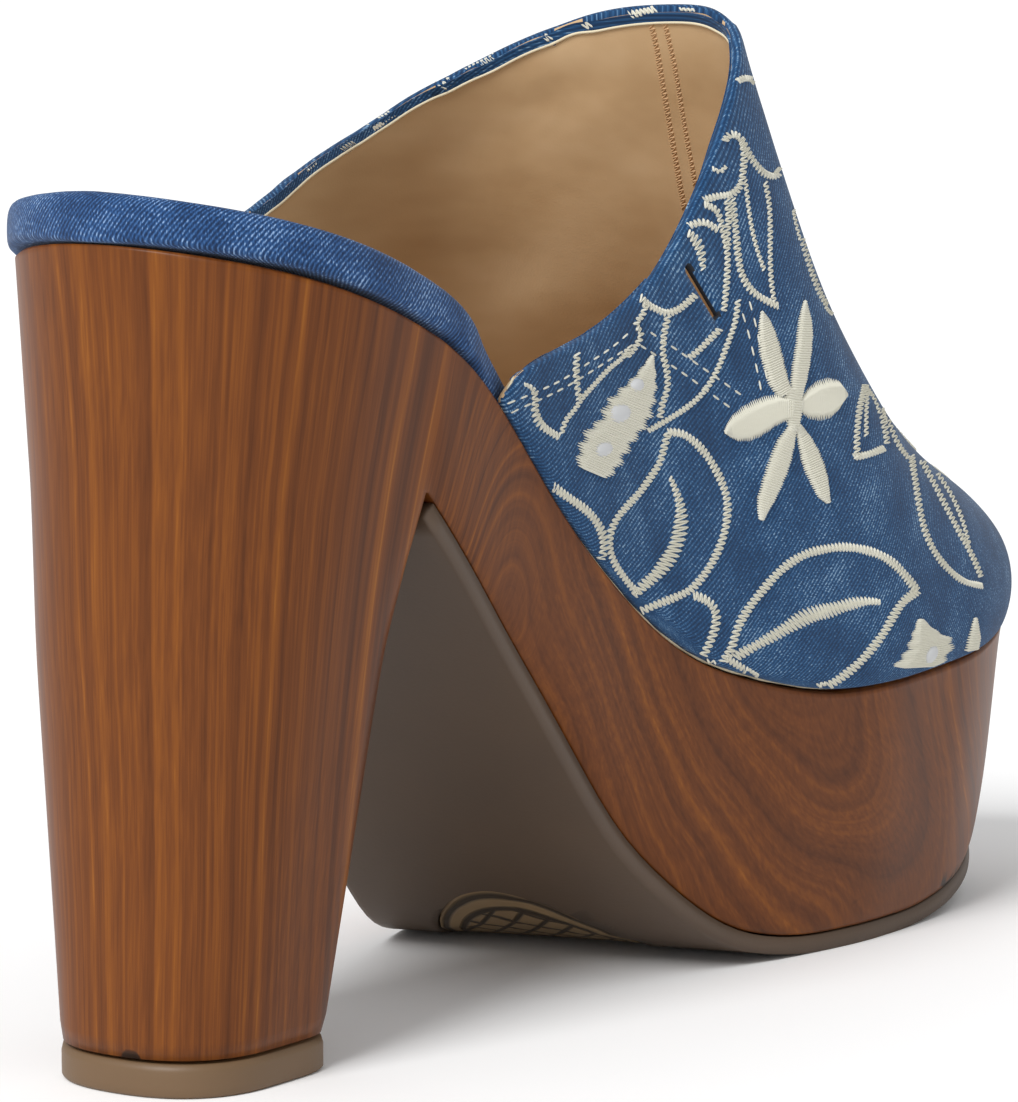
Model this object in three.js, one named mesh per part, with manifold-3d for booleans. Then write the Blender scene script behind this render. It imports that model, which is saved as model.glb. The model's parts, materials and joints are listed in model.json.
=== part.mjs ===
// Platform mule, left shoe: a moulded heel and platform unit with a thin outsole under it,
// a wrapped insole whose edge shows round the heel seat, and a hollow upper open behind.
// Millimetres. The origin is the middle of the heel tip's floor face, +Y runs to the toe,
// +X to the inner (medial) side and +Z up.
import * as THREE from 'three';
import Module from 'manifold-3d';
import { mergeVertices } from 'three/addons/utils/BufferGeometryUtils.js';

// Last and platform
const lastLength = 239.5; // seat's back to toe tip, level
const ballWidth = 88.2; // the platform's top edge across the ball
const platformHeight = 46.4; // floor to the platform's top edge at the ball
const heelRise = 83.4; // how much higher the seat's back is than the ball
const toeLift = 8.3; // how much higher the toe's top edge is than the ball
const toeX = 9.2; // the toe tip's offset to the inner side
const innerToeRun = 48.5; // length over which the inner side rounds into the toe
const outerToeRun = 74.2; // the same on the outer side
const toeRound = 2.3; // exponent of the toe's curve, 2 being an ellipse

// Heel
const tipLength = 34.7;
const tipWidth = 35.6;
const tipHeight = 5.4;
const tipSquare = 2.4; // exponent of the curve of the tip's back
const tipEdge = 0.5; // bevel round the tip's floor face
const tipCorner = 6; // rounding of the two front corners
const cornerFade = 26; // height below the arch over which that rounding comes in
const seatOverhang = 3; // the seat's back stands this far behind the tip's back

// Arch, tread and outsole
const breastReach = 45.4; // seat's back to the top of the breast
const archHeight = 87.2; // floor to the outsole at the top of the arch
const treadStart = 140.8; // seat's back to the line where the sole meets the floor
const treadSkew = 10.4; // that line lies this much further on at the inner side
const treadFlat = 34; // length of the flat tread
const toeSpring = 13; // the outsole's height at the toe tip
const wallInset = 5.7; // the platform's bottom edge stands in from its top edge
const archRun = 40; // length over which that inset comes in past the breast
const soleThickness = 3.1;
const soleStart = 1.2; // the outsole starts this far past the breast's top
const padLength = 70;
const padWidth = 42;
const padCentre = [-8, 126];
const padDepth = 1.3;
const padRecess = 0.4; // the pad's face lies this much above the tread

// Insole
const rimHeight = 7.8;
const rimProud = 1.2; // the rim stands out past the wood round the seat
const rimRun = 10; // length over which it draws in before the upper

// Upper
const wall = 2;
const upperProud = 0.4; // its lower edge stands out past the wood
const upperBulge = 1.8; // how much further it swells above its lower edge
const bulgeRise = 4.1; // height in which most of that swell is reached
const instepRise = 126; // ridge height over the wood where the throat is cut
const innerSquare = 2.4; // exponent of the section's inner side
const outerSquare = 2.2;
const boxRun = 25.4; // length over which the ridge comes down at the toe
const slitWidth = 1.2;
const slitLength = 12;

const gap = 0.3; // between pieces that touch
const mergeWithin = 1e-3; // corners nearer than this are one

// Half widths of the platform's top edge, as shares of the ball width.
const outlineRows = [
  { at: 0, inner: 0.36, outer: 0.36 },
  { at: 0.12, inner: 0.36, outer: 0.36 },
  { at: 0.22, inner: 0.355, outer: 0.356 },
  { at: 0.32, inner: 0.338, outer: 0.367 },
  { at: 0.42, inner: 0.336, outer: 0.406 },
  { at: 0.52, inner: 0.375, outer: 0.474 },
  { at: 0.62, inner: 0.432, outer: 0.525 },
  { at: 0.72, inner: 0.471, outer: 0.517 },
  { at: 0.8, inner: 0.469, outer: 0.486 },
  { at: 0.88, inner: 0.447, outer: 0.454 },
  { at: 1, inner: 0.408, outer: 0.413 },
];

// Height of that edge above the ball: shares of the heel's rise and of the toe's lift.
const topRows = [
  { at: 0, heel: 1, toe: 0 },
  { at: 0.09, heel: 0.926, toe: 0 },
  { at: 0.22, heel: 0.773, toe: 0 },
  { at: 0.38, heel: 0.353, toe: 0 },
  { at: 0.52, heel: 0.085, toe: 0 },
  { at: 0.66, heel: 0, toe: 0 },
  { at: 0.82, heel: 0, toe: 0.22 },
  { at: 1, heel: 0, toe: 1 },
];

// Outsole height from the breast to the tread line, as shares of the arch's height.
const archRows = [
  { way: 0, height: 1 },
  { way: 0.33, height: 0.612 },
  { way: 0.62, height: 0.228 },
  { way: 0.87, height: 0.032 },
  { way: 1, height: 0 },
];

// Toe spring from the tread's front to the toe tip, as shares of its height.
const springRows = [
  { way: 0, height: 0 },
  { way: 0.6, height: 0.35 },
  { way: 1, height: 1 },
];

// The platform's side from its top edge down, and how much of the inset it has there.
const sideRows = [
  { down: 0, inset: 0 },
  { down: 0.06, inset: 0.1 },
  { down: 0.35, inset: 0.27 },
  { down: 0.7, inset: 0.5 },
  { down: 0.93, inset: 0.8 },
  { down: 1, inset: 1 },
];

// The insole's edge from its underside up, and how far it draws in, in rim heights.
const rimRows = [
  { up: 0, inset: 0.06 },
  { up: 0.14, inset: 0 },
  { up: 0.66, inset: 0 },
  { up: 0.9, inset: 0.07 },
  { up: 1, inset: 0.24 },
];

// The upper's ridge: its height over the wood as a share of the instep's rise,
// and its offset to the inner side as a share of the ball width.
const ridgeRows = [
  { at: 0.27, rise: 1.9, offset: 0.093 },
  { at: 0.3135, rise: 1.752, offset: 0.1 },
  { at: 0.4426, rise: 1.376, offset: 0.12 },
  { at: 0.5716, rise: 1, offset: 0.134 },
  { at: 0.6791, rise: 0.59, offset: 0.139 },
  { at: 0.7867, rise: 0.354, offset: 0.133 },
  { at: 0.8727, rise: 0.252, offset: 0.128 },
  { at: 0.9458, rise: 0.182, offset: 0.115 },
  { at: 1, rise: 0.17, offset: 0.104 },
];

// The collar line: turn runs from the inner lower edge over the ridge to the outer one,
// and at is how far along the last the line lies there.
const collarRows = [
  { turn: 0, at: 0.264 },
  { turn: 0.022, at: 0.331 },
  { turn: 0.056, at: 0.405 },
  { turn: 0.1, at: 0.463 },
  { turn: 0.156, at: 0.504 },
  { turn: 0.222, at: 0.54 },
  { turn: 0.306, at: 0.569 },
  { turn: 0.4, at: 0.589 },
  { turn: 0.5, at: 0.5945 },
  { turn: 0.611, at: 0.5885 },
  { turn: 0.711, at: 0.5665 },
  { turn: 0.8, at: 0.513 },
  { turn: 0.878, at: 0.433 },
  { turn: 0.944, at: 0.336 },
  { turn: 1, at: 0.22 },
];

// The slit's two ends in the upper's inner side.
const slitEnds = [
  { turn: 0.106, at: 0.48 },
  { turn: 0.104, at: 0.51 },
];

// How finely each form is cut into flats.
const heelStations = 12;
const soleStations = 40;
const heelRowCount = 7;
const upperTurns = 38;
const nearCollar = 1.2; // a station this near the collar is moved onto it
const padFlats = 40;

const materials = {
  printedWood: new THREE.MeshStandardMaterial({ color: '#8f5427', roughness: 0.35, metalness: 0 }),
  denim: new THREE.MeshStandardMaterial({ color: '#3a659b', roughness: 0.9, metalness: 0 }),
  wrapDenim: new THREE.MeshStandardMaterial({ color: '#2f5590', roughness: 0.9, metalness: 0 }),
  soleRubber: new THREE.MeshStandardMaterial({ color: '#7b6448', roughness: 0.6, metalness: 0 }),
  padRubber: new THREE.MeshStandardMaterial({ color: '#a8906a', roughness: 0.7, metalness: 0 }),
};

const wasm = await Module();
wasm.setup();

// A smooth curve through a table's rows that never overshoots them.
function curveOf(rows, key, column) {
  const x = rows.map((row) => row[key]);
  const y = rows.map((row) => row[column]);
  const last = x.length - 1;
  const rise = [];
  for (let i = 0; i < last; i += 1) rise.push((y[i + 1] - y[i]) / (x[i + 1] - x[i]));
  const slope = x.map((_, i) => {
    if (i === 0) return rise[0];
    if (i === last) return rise[last - 1];
    if (rise[i - 1] * rise[i] <= 0) return 0;
    return (2 * rise[i - 1] * rise[i]) / (rise[i - 1] + rise[i]);
  });
  return (at) => {
    if (at <= x[0]) return y[0];
    if (at >= x[last]) return y[last];
    let i = 0;
    while (at > x[i + 1]) i += 1;
    const span = x[i + 1] - x[i];
    const t = (at - x[i]) / span;
    const s = 1 - t;
    return (
      s * s * (1 + 2 * t) * y[i] +
      t * t * (3 - 2 * t) * y[i + 1] +
      s * s * t * span * slope[i] -
      t * t * s * span * slope[i + 1]
    );
  };
}

const ease = (t) => {
  const c = Math.min(1, Math.max(0, t));
  return c * c * (3 - 2 * c);
};
const mix = (a, b, t) => a + (b - a) * t;

// Where things lie along Y.
const seatBack = -tipLength / 2 - seatOverhang;
const toeY = seatBack + lastLength;
const breastY = seatBack + breastReach;
const shareAt = (y) => (y - seatBack) / lastLength;
const placeAt = (share) => seatBack + share * lastLength;

const halfWidth = {
  inner: curveOf(outlineRows, 'at', 'inner'),
  outer: curveOf(outlineRows, 'at', 'outer'),
};
const heelShare = curveOf(topRows, 'at', 'heel');
const toeShare = curveOf(topRows, 'at', 'toe');
const archShare = curveOf(archRows, 'way', 'height');
const springShare = curveOf(springRows, 'way', 'height');
const sideInset = curveOf(sideRows, 'down', 'inset');
const ridgeRise = curveOf(ridgeRows, 'at', 'rise');
const ridgeOffset = curveOf(ridgeRows, 'at', 'offset');
const collarShare = curveOf(collarRows, 'turn', 'at');

// Height of the platform's top edge, which is level across the shoe.
function topZ(y) {
  const share = shareAt(y);
  return platformHeight + heelRise * heelShare(share) + toeLift * toeShare(share);
}

// X of the top edge; side is 1 on the inner side and -1 on the outer one.
function edgeX(side, y) {
  const half = ballWidth * halfWidth[side > 0 ? 'inner' : 'outer'](shareAt(y));
  const seatRound = ballWidth * halfWidth.inner(0);
  const toeRun = side > 0 ? innerToeRun : outerToeRun;
  const toeStart = toeY - toeRun;
  if (y < seatBack + seatRound) {
    const back = Math.min(1, (seatBack + seatRound - y) / seatRound);
    return side * half * Math.sqrt(1 - back * back);
  }
  if (y > toeStart) {
    const on = Math.min(1, (y - toeStart) / toeRun);
    return toeX + (side * half - toeX) * (1 - on ** toeRound) ** (1 / toeRound);
  }
  return side * half;
}

// A point of the top edge moved out by a distance, square to the edge in plan.
function edgePoint(side, y, out) {
  if (y >= toeY) return new THREE.Vector2(toeX, toeY + out);
  if (y <= seatBack) return new THREE.Vector2(0, seatBack - out);
  const step = Math.min(0.05, (toeY - y) / 2, (y - seatBack) / 2);
  const dx = edgeX(side, y + step) - edgeX(side, y - step);
  const normal = new THREE.Vector2(side * 2 * step, -side * dx).normalize();
  return new THREE.Vector2(edgeX(side, y) + normal.x * out, y + normal.y * out);
}

// Height of the outsole's floor side.
function soleZ(side, y) {
  const treadY = seatBack + treadStart + side * treadSkew;
  if (y < treadY) return archHeight * archShare((y - breastY) / (treadY - breastY));
  const springY = treadY + treadFlat;
  return toeSpring * springShare((y - springY) / (toeY - wallInset - springY));
}

// How far the platform's bottom edge stands in from its top edge, along the shoe.
function insetAt(y) {
  const taper = (archHeight - topZ(breastY)) / (tipHeight - topZ(breastY));
  const atBreast = (ballWidth * halfWidth.inner(shareAt(breastY)) - tipWidth / 2) * taper;
  return mix(atBreast, wallInset, ease((y - breastY) / archRun));
}

// A point of the sole's floor side, lifted square to it by a distance: side runs from 1 at
// the inner edge to -1 at the outer one.
function solePoint(side, y, lift, out = 0) {
  const [inner, outer] = [1, -1].map((edge) => edgePoint(edge, y, out - insetAt(y)));
  const p = inner.lerp(outer, (1 - side) / 2);
  const skew = y >= toeY ? 0 : side;
  const step = 0.2;
  const slope = (soleZ(skew, p.y + step) - soleZ(skew, p.y - step)) / (2 * step);
  const level = 1 / Math.hypot(1, slope);
  return new THREE.Vector3(p.x, p.y - slope * level * lift, soleZ(skew, p.y) + level * lift);
}

// Places from one to another, closer together at the ends that ask for it.
function stations(from, to, count, closeStart, closeEnd) {
  return Array.from({ length: count + 1 }, (_, i) => {
    const t = i / count;
    let share = t;
    if (closeStart && closeEnd) share = (1 - Math.cos(Math.PI * t)) / 2;
    else if (closeStart) share = 1 - Math.cos((Math.PI * t) / 2);
    else if (closeEnd) share = Math.sin((Math.PI * t) / 2);
    return mix(from, to, share);
  });
}

// Where the pieces are cut across: behind the breast's top line, and past it.
const platformLift = soleThickness + gap;
const breastTop = solePoint(0, breastY, platformLift);
const heelShares = stations(0, 1, heelStations, true, false);
const seatYs = heelShares.map((share) => mix(seatBack, breastTop.y, share));
const soleYs = stations(breastY + soleStart, toeY, soleStations, false, true);
const edgeYs = [...seatYs, ...soleYs];

// Collects sheets of points and closes them into one body.
class Skin {
  constructor() {
    this.corners = [];
  }

  triangle(a, b, c) {
    this.corners.push(a, b, c);
  }

  // Rows of points; the sheet faces along (next in row) x (next row).
  sheet(rows, turned = false) {
    for (let i = 0; i + 1 < rows.length; i += 1) {
      for (let j = 0; j + 1 < rows[i].length; j += 1) {
        const [a, b, c, d] = [rows[i][j], rows[i][j + 1], rows[i + 1][j + 1], rows[i + 1][j]];
        if (turned) {
          this.triangle(a, c, b);
          this.triangle(a, d, c);
        } else {
          this.triangle(a, b, c);
          this.triangle(a, c, d);
        }
      }
    }
  }

  // A flat face inside a ring, fanned from its middle; it faces up.
  disc(ring, turned = false) {
    const middle = ring.reduce((sum, p) => sum.add(p), new THREE.Vector3());
    middle.divideScalar(ring.length);
    ring.forEach((p, i) => {
      const next = ring[(i + 1) % ring.length];
      if (turned) this.triangle(middle, next, p);
      else this.triangle(middle, p, next);
    });
  }

  // One closed mesh, without the triangles whose corners fall together.
  geometry() {
    const flat = this.corners.flatMap((p) => [p.x, p.y, p.z]);
    const loose = new THREE.BufferGeometry();
    loose.setAttribute('position', new THREE.Float32BufferAttribute(flat, 3));
    const merged = mergeVertices(loose, mergeWithin);
    const index = merged.index.array;
    const kept = [];
    for (let i = 0; i < index.length; i += 3) {
      const [a, b, c] = index.slice(i, i + 3);
      if (a !== b && b !== c && c !== a) kept.push(a, b, c);
    }
    merged.setIndex(kept);
    return merged;
  }
}

function solidOf(geometry) {
  const bare = geometry.clone();
  bare.deleteAttribute('normal');
  bare.deleteAttribute('uv');
  const merged = mergeVertices(bare, mergeWithin);
  return new wasm.Manifold(
    new wasm.Mesh({
      numProp: 3,
      vertProperties: new Float32Array(merged.attributes.position.array),
      triVerts: new Uint32Array(merged.index.array),
    }),
  );
}

function geometryOf(solid) {
  const mesh = solid.getMesh();
  const geometry = new THREE.BufferGeometry();
  geometry.setAttribute('position', new THREE.BufferAttribute(mesh.vertProperties, 3));
  geometry.setIndex(new THREE.BufferAttribute(mesh.triVerts, 1));
  return geometry;
}

// Heel tip: a D in plan, round behind and with two rounded corners in front.
function tipHalfWidth(y, grow = 0) {
  const half = tipWidth / 2 + grow;
  const back = Math.min(1, Math.max(0, -y / (tipLength / 2 + grow)));
  return half * (1 - back ** tipSquare) ** (1 / tipSquare);
}

// The D as a ring: back to front on the inner side, across, and back on the outer side.
function tipRing(z, grow) {
  const inner = heelShares.map((share) => tipSidePoint(1, share, z, grow));
  const front = breastShares.map((share) => frontPoint(share, z, tipWidth / 2 + grow,
    tipLength / 2 + grow, tipCorner, tipWidth / 2 + grow));
  const outer = heelShares.map((share) => tipSidePoint(-1, share, z, grow));
  return [...inner, ...front.slice(1, -1), ...outer.reverse()];
}

function tipSidePoint(side, share, z, grow = 0) {
  const back = -tipLength / 2 - grow;
  const y = mix(back, tipLength / 2 + grow - tipCorner, share);
  const x = share === 0 ? 0 : side * tipHalfWidth(y, grow);
  return new THREE.Vector3(x, y, z);
}

// A point across the heel's front face, with rounded corners.
function frontPoint(share, z, innerHalf, frontY, corner, outerHalf) {
  const x = mix(innerHalf, -outerHalf, share);
  const reach = x > 0 ? x - (innerHalf - corner) : -x - (outerHalf - corner);
  const past = Math.max(0, Math.min(corner, reach));
  return new THREE.Vector3(x, frontY - (corner - Math.sqrt(corner * corner - past * past)), z);
}

const breastShares = [0, 0.03, 0.08, 0.17, 0.35, 0.65, 0.83, 0.92, 0.97, 1];

function makeHeelTip() {
  const skin = new Skin();
  const rings = [
    tipRing(0, -tipEdge),
    tipRing(tipEdge, 0),
    tipRing(tipHeight, 0),
  ];
  const closed = rings.map((ring) => [...ring, ring[0]]);
  skin.sheet(closed);
  skin.disc(rings[0], true);
  skin.disc(rings.at(-1));
  return skin.geometry();
}

// Platform and heel, one moulded unit.
function makePlatformHeel() {
  const skin = new Skin();
  const seamZ = tipHeight + gap;
  const archZ = breastTop.z;
  const downRows = sideRows.map((row) => row.down);
  const heelRows = stations(0, 1, heelRowCount, false, false).slice(1);

  // One column of the heel's side, from the seat down to the tip's seam.
  const heelColumn = (side, i) => {
    const share = heelShares[i];
    const top = new THREE.Vector3(i === 0 ? 0 : edgeX(side, seatYs[i]), seatYs[i], topZ(seatYs[i]));
    const foot = tipSidePoint(side, share, seamZ);
    const pointAt = (z) => {
      const fall = (top.z - z) / (top.z - seamZ);
      const below = Math.max(0, (archZ - z) / (archZ - seamZ));
      const corner = tipCorner * ease((archZ - z) / cornerFade);
      const y = mix(top.y, foot.y + tipCorner * share, mix(fall, below, share)) - corner * share;
      return new THREE.Vector3(mix(top.x, foot.x, fall), y, z);
    };
    const upper = downRows.map((down) => pointAt(mix(top.z, archZ, down)));
    const lower = heelRows.map((share2) => pointAt(mix(archZ, seamZ, share2)));
    return [...upper, ...lower];
  };

  // One column of the platform's side, from the top edge down to the outsole.
  const platformColumn = (side, y) => {
    const top = edgePoint(side, y, 0);
    const foot = solePoint(side, y, platformLift);
    return downRows.map((down) => {
      const inward = sideInset(down);
      return new THREE.Vector3(
        mix(top.x, foot.x, inward),
        mix(top.y, foot.y, inward),
        mix(topZ(top.y), foot.z, down),
      );
    });
  };

  const columns = {};
  for (const [name, side] of [['inner', 1], ['outer', -1]]) {
    const heel = heelShares.map((_, i) => heelColumn(side, i));
    const shared = heel.at(-1).slice(0, downRows.length);
    const platform = [shared, ...soleYs.map((y) => platformColumn(side, y))];
    columns[name] = { heel, platform };
    skin.sheet(heel, side < 0);
    skin.sheet(platform, side < 0);
  }

  // Breast face.
  const face = [];
  for (let k = 0; k <= heelRowCount; k += 1) {
    const inner = columns.inner.heel.at(-1)[downRows.length - 1 + k];
    const outer = columns.outer.heel.at(-1)[downRows.length - 1 + k];
    const corner = tipCorner * ease((archZ - inner.z) / cornerFade);
    face.push(breastShares.map((share) => {
      if (share === 0) return inner;
      if (share === 1) return outer;
      return frontPoint(share, inner.z, inner.x, inner.y + corner, corner, -outer.x);
    }));
  }
  skin.sheet(face, true);

  // Underside of the arch and the forepart, from the breast's top line.
  skin.sheet([face[0], ...soleYs.map((y) => acrossSole(y, platformLift))]);

  // Top under the insole, and the seam face over the tip.
  const top = [
    ...columns.inner.heel.map((column, i) => [column[0], columns.outer.heel[i][0]]),
    ...columns.inner.platform.slice(1).map((column, i) => [
      column[0], columns.outer.platform[i + 1][0]]),
  ];
  skin.sheet(top, true);
  const ring = [
    ...columns.inner.heel.map((column) => column.at(-1)),
    ...face.at(-1).slice(1, -1),
    ...columns.outer.heel.map((column) => column.at(-1)).reverse(),
  ];
  skin.disc(ring, true);
  return skin.geometry();
}

// Points across the sole's floor side, from the inner edge to the outer one.
function acrossSole(y, lift, out = 0) {
  return breastShares.map((share) => solePoint(1 - 2 * share, y, lift, out));
}

// A sheet that follows the sole's floor side, between two lifts.
function soleSlab(from, to, out = 0) {
  const skin = new Skin();
  const [low, high] = [from, to].map((lift) => soleYs.map((y) => acrossSole(y, lift, out)));
  skin.sheet(low);
  skin.sheet(high, true);
  skin.sheet([low.map((row) => row[0]), high.map((row) => row[0])]);
  skin.sheet([low.map((row) => row.at(-1)), high.map((row) => row.at(-1))], true);
  skin.sheet([low[0], high[0]], true);
  return skin.geometry();
}

// An oval post over the pad's place.
function padPost(shrink) {
  const oval = new THREE.Shape();
  oval.absellipse(0, 0, padWidth / 2 - shrink, padLength / 2 - shrink, 0, Math.PI * 2);
  const post = new THREE.ExtrudeGeometry(oval, {
    depth: archHeight, bevelEnabled: false, curveSegments: padFlats,
  });
  post.translate(padCentre[0], padCentre[1], -archHeight / 2);
  return post;
}

function makeOutsole() {
  const sheet = solidOf(soleSlab(0, soleThickness));
  const pocket = solidOf(soleSlab(-soleThickness, padDepth + padRecess, gap));
  return geometryOf(sheet.subtract(pocket.intersect(solidOf(padPost(0)))));
}

function makeGripPad() {
  const layer = solidOf(soleSlab(padRecess, padDepth + padRecess - gap));
  return geometryOf(layer.intersect(solidOf(padPost(gap))));
}

// How far the insole's edge stands out past the wood: proud round the seat, drawn in
// within the upper.
function insoleOut(side, y) {
  const end = placeAt(side > 0 ? collarRows[0].at : collarRows.at(-1).at);
  const inside = upperProud - wall - gap;
  return mix(rimProud, inside, ease((y - end + rimRun) / rimRun));
}

function makeInsole() {
  const skin = new Skin();
  const ring = (side, row) => edgeYs.map((y) => {
    const p = edgePoint(side, y, insoleOut(side, y) - row.inset * rimHeight);
    return new THREE.Vector3(p.x, p.y, topZ(p.y) + gap + row.up * rimHeight);
  });
  const inner = rimRows.map((row) => ring(1, row));
  const outer = rimRows.map((row) => ring(-1, row));
  skin.sheet(inner);
  skin.sheet(outer, true);
  skin.sheet([inner.at(-1), outer.at(-1)]);
  skin.sheet([inner[0], outer[0]], true);
  return skin.geometry();
}

// The upper's outer form before it swells: turn 0 is the inner lower edge, 1 the outer one.
function lastPoint(turn, y) {
  const angle = Math.PI * Math.min(1, Math.max(0, turn));
  const share = shareAt(y);
  const boxStart = toeY - boxRun;
  const on = Math.max(0, Math.min(1, (y - boxStart) / boxRun));
  const rise = instepRise * ridgeRise(share) * (1 - on ** toeRound) ** (1 / toeRound);
  const ridgeX = ballWidth * ridgeOffset(share);
  const side = angle < Math.PI / 2 ? 1 : -1;
  const power = 2 / (side > 0 ? innerSquare : outerSquare);
  const across = Math.abs(Math.cos(angle)) ** power;
  const up = Math.sin(angle) ** power;
  return new THREE.Vector3(
    ridgeX + (edgeX(side, y) - ridgeX) * across,
    y,
    topZ(y) + gap + rise * (Number.isFinite(up) ? up : 0),
  );
}

function outwardAt(point, turn, y) {
  const turnStep = 0.004;
  const yStep = Math.min(0.3, Math.max(0.01, (toeY - y) / 3));
  const around = point(Math.min(1, turn + turnStep), y).sub(point(Math.max(0, turn - turnStep), y));
  const along = point(turn, y + yStep).sub(point(turn, y - yStep));
  return along.cross(around).normalize();
}

// The outer surface, swollen a little above its lower edge.
function upperPoint(turn, y) {
  const p = lastPoint(turn, y);
  const outward = outwardAt(lastPoint, turn, y);
  const above = p.z - topZ(y) - gap;
  const swell = upperProud + upperBulge * (1 - Math.exp(-above / bulgeRise));
  return p.add(new THREE.Vector3(outward.x, outward.y, 0).multiplyScalar(swell));
}

function makeUpper() {
  const skin = new Skin();
  const toeTip = (out) => new THREE.Vector3(toeX, toeY + out, topZ(toeY) + gap);
  const outerRows = [];
  const innerRows = [];
  for (const turn of stations(0, 1, upperTurns, true, true)) {
    const start = placeAt(collarShare(turn));
    const outside = [];
    const inside = [];
    for (const station of edgeYs.slice(0, -1)) {
      const y = station < start + nearCollar ? start : station;
      const p = upperPoint(turn, y);
      const q = outwardAt(upperPoint, turn, y).multiplyScalar(-wall).add(p);
      if (turn === 0 || turn === 1) {
        p.z = topZ(p.y) + gap;
        q.z = topZ(q.y) + gap;
      }
      outside.push(p);
      inside.push(q);
    }
    outerRows.push([...outside, toeTip(upperProud)]);
    innerRows.push([...inside, toeTip(upperProud - wall)]);
  }
  skin.sheet(outerRows);
  skin.sheet(innerRows, true);
  const collarOut = outerRows.map((row) => row[0]);
  const collarIn = innerRows.map((row) => row[0]);
  skin.sheet([collarOut, collarIn]);
  skin.sheet([outerRows[0], innerRows[0]], true);
  skin.sheet([outerRows.at(-1), innerRows.at(-1)]);
  return geometryOf(solidOf(skin.geometry()).subtract(solidOf(slitCutter())));
}

// A thin block through the wall along the slit.
function slitCutter() {
  const [back, front] = slitEnds.map((end) => upperPoint(end.turn, placeAt(end.at)));
  const middle = new THREE.Vector3().addVectors(back, front).divideScalar(2);
  const along = new THREE.Vector3().subVectors(front, back).normalize();
  const outward = outwardAt(upperPoint, slitEnds[0].turn, middle.y);
  const across = new THREE.Vector3().crossVectors(outward, along).normalize();
  const square = new THREE.Vector3().crossVectors(along, across);
  const block = new THREE.BoxGeometry(slitLength, slitWidth, wall * 4);
  block.applyMatrix4(new THREE.Matrix4().makeBasis(along, across, square).setPosition(middle));
  return block;
}

const shoe = new THREE.Group();

function addPiece(name, geometry, material) {
  const mesh = new THREE.Mesh(geometry, material);
  mesh.name = name;
  shoe.add(mesh);
}

addPiece('heel_tip', makeHeelTip(), materials.soleRubber);
addPiece('platform_heel', makePlatformHeel(), materials.printedWood);
addPiece('outsole', makeOutsole(), materials.soleRubber);
addPiece('grip_pad', makeGripPad(), materials.padRubber);
addPiece('insole', makeInsole(), materials.wrapDenim);
addPiece('upper', makeUpper(), materials.denim);

export default shoe;
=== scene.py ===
# Platform mule, left shoe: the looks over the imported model. Metres, +Y to the toe, +X to the inner side.
import math

import bmesh
import bpy
import numpy as np
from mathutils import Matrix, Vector
from mathutils.bvhtree import BVHTree
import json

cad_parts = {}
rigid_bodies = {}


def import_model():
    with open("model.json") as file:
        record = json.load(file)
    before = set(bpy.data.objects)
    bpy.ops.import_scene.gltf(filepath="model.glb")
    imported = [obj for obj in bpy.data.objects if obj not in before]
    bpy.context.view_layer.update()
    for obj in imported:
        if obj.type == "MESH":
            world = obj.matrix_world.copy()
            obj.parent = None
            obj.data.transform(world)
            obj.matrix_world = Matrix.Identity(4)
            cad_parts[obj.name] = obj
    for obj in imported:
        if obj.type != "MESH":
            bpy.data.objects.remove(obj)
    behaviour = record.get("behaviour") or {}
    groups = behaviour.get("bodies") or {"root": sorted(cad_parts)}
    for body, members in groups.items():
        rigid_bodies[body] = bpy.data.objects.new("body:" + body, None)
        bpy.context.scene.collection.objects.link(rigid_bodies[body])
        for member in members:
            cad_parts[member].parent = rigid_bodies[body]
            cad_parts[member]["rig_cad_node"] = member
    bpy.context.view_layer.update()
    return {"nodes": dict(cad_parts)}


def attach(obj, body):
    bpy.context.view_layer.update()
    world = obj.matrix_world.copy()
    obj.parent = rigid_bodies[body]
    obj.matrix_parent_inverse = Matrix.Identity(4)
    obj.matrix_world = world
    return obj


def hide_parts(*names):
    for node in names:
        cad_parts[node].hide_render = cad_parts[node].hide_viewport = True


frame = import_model()
mm = 0.001


# Colours and nodes
def hexColour(code):
    parts = [int(code[i:i + 2], 16) / 255 for i in (1, 3, 5)]
    return [c / 12.92 if c <= 0.04045 else ((c + 0.055) / 1.055) ** 2.4 for c in parts] + [1]


def fillInputs(tree, node, inputs):
    # an input is given as a constant or as another node's output
    for name, value in inputs.items():
        if isinstance(value, bpy.types.NodeSocket):
            tree.links.new(value, node.inputs[name])
        else:
            node.inputs[name].default_value = value


def addNode(tree, kind, settings, inputs):
    node = tree.nodes.new("ShaderNode" + kind)
    for name, value in settings.items():
        setattr(node, name, value)
    fillInputs(tree, node, inputs)
    return node


def ranged(tree, value, low, high, toLow=0, toHigh=1, shape="LINEAR"):
    # a value carried from one range over to another and held at its ends
    spans = {"From Min": low, "From Max": high, "To Min": toLow, "To Max": toHigh, "Value": value}
    return addNode(tree, "MapRange", {"interpolation_type": shape}, spans).outputs["Result"]


def maths(tree, kind, operation, *values):
    # arithmetic on numbers ("Math") or on vectors ("VectorMath")
    node = addNode(tree, kind, {"operation": operation}, dict(enumerate(values)))
    return node.outputs["Value" if kind == "Math" or operation in ("LENGTH", "DOT_PRODUCT") else "Vector"]


def addBump(tree, shader, strength, depth, height):
    bump = addNode(tree, "Bump", {}, {"Strength": strength, "Distance": depth, "Height": height})
    fillInputs(tree, shader, {"Normal": bump.outputs["Normal"]})


def newMaterial(name):
    material = bpy.data.materials.new(name)
    material.use_nodes = True
    return material, material.node_tree, material.node_tree.nodes["Principled BSDF"]


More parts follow.
